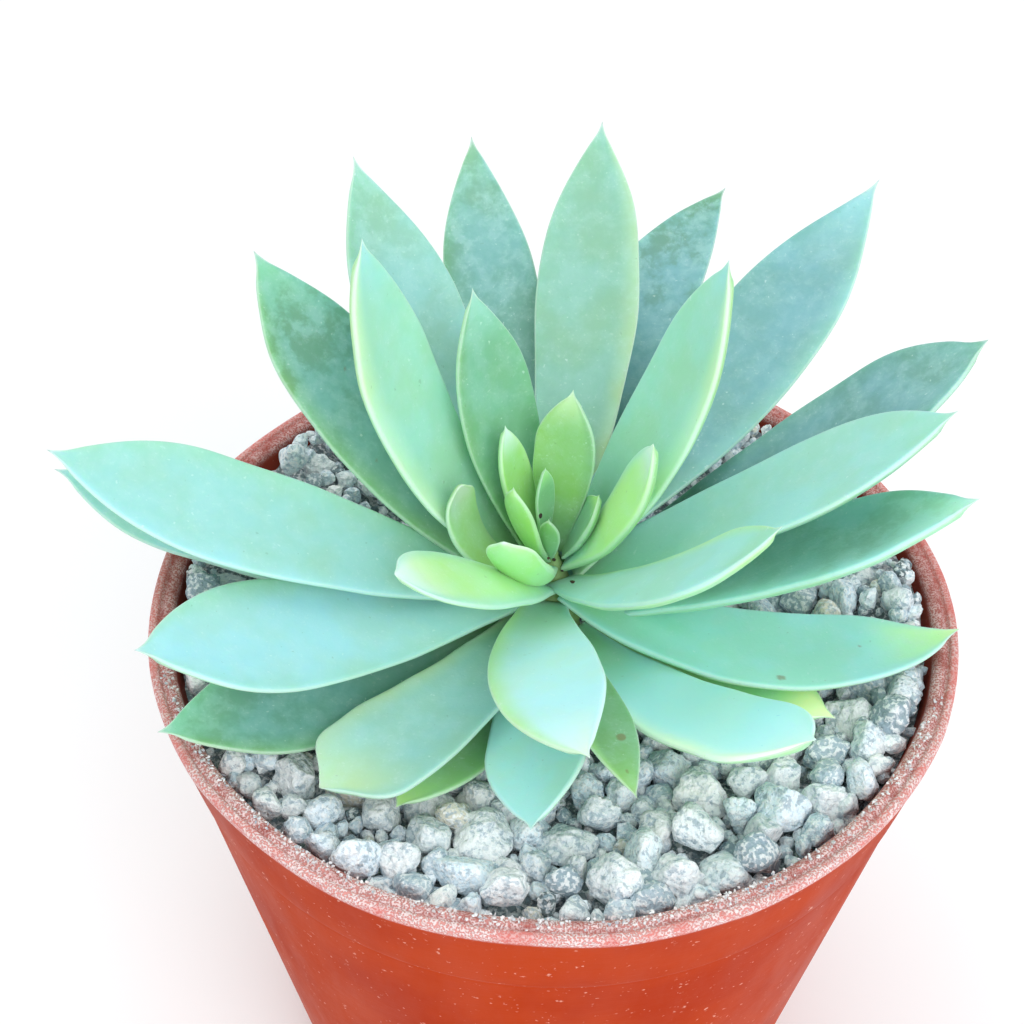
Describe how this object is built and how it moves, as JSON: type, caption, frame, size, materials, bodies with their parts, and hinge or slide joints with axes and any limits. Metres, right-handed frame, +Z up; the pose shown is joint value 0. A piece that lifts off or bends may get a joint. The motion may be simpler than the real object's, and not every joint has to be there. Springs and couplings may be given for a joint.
{
  "type": "potted succulent",
  "caption": "Rosette succulent with pointed fleshy blue-green leaves, growing in a tapered round plastic pot topped with pale pumice grit.",
  "frame": {"origin": "centre of the pot's flat underside, on the surface the pot stands on", "axes": "+Z up along the pot's axis; -Y is the front, the side the rosette is seen from; +X to the right of it"},
  "size_m": [0.0955, 0.0881, 0.1173],
  "materials": {
    "terracotta_plastic": "satin orange-red, dusty and scuffed at the lip",
    "potting_soil": "crumbly dark brown",
    "grit_bed": "fine grey pumice and granite grit",
    "pumice_stone": "light grey, speckled with dark grains, matt",
    "stem_skin": "green to brown, matt",
    "leaf_skin_lower": "waxy, olive green, bloom mostly rubbed off",
    "leaf_skin_outer": "waxy blue-green with a powdery bloom",
    "leaf_skin_middle": "waxy blue-green with a powdery bloom",
    "leaf_skin_inner": "waxy light green with a powdery bloom",
    "leaf_skin_heart": "waxy fresh green with pale tips"
  },
  "bodies": {
    "root": {"pot": "terracotta_plastic", "potting_soil": "potting_soil", "grit_bed": "grit_bed", "stem_and_root": "stem_skin", "stone_01": "pumice_stone", "stone_02": "pumice_stone", "stone_03": "pumice_stone", "stone_04": "pumice_stone", "stone_05": "pumice_stone", "stone_06": "pumice_stone", "stone_07": "pumice_stone", "stone_08": "pumice_stone", "stone_09": "pumice_stone", "stone_10": "pumice_stone", "stone_11": "pumice_stone", "stone_12": "pumice_stone", "stone_13": "pumice_stone", "stone_14": "pumice_stone", "stone_15": "pumice_stone", "stone_16": "pumice_stone", "stone_17": "pumice_stone", "stone_18": "pumice_stone", "lower_leaf_1": "leaf_skin_lower", "lower_leaf_2": "leaf_skin_lower", "lower_leaf_3": "leaf_skin_lower", "lower_leaf_5": "leaf_skin_lower", "lower_leaf_4": "leaf_skin_lower", "lower_leaf_6": "leaf_skin_lower", "outer_leaf_1": "leaf_skin_outer", "outer_leaf_2": "leaf_skin_outer", "outer_leaf_3": "leaf_skin_outer", "outer_leaf_4": "leaf_skin_outer", "outer_leaf_5": "leaf_skin_outer", "outer_leaf_6": "leaf_skin_outer", "outer_leaf_7": "leaf_skin_outer", "outer_leaf_8": "leaf_skin_outer", "middle_leaf_1": "leaf_skin_middle", "middle_leaf_2": "leaf_skin_middle", "middle_leaf_3": "leaf_skin_middle", "middle_leaf_4": "leaf_skin_middle", "middle_leaf_5": "leaf_skin_middle", "middle_leaf_6": "leaf_skin_middle", "middle_leaf_7": "leaf_skin_middle", "inner_leaf_2": "leaf_skin_inner", "inner_leaf_1": "leaf_skin_inner", "inner_leaf_3": "leaf_skin_inner", "inner_leaf_4": "leaf_skin_inner", "inner_leaf_5": "leaf_skin_inner", "heart_leaf_1": "leaf_skin_heart", "heart_leaf_2": "leaf_skin_heart", "heart_leaf_3": "leaf_skin_heart", "heart_leaf_4": "leaf_skin_heart", "heart_leaf_5": "leaf_skin_heart", "heart_leaf_6": "leaf_skin_heart", "heart_leaf_7": "leaf_skin_heart", "heart_leaf_8": "leaf_skin_heart", "heart_leaf_9": "leaf_skin_heart"}
  },
  "joints": []
}
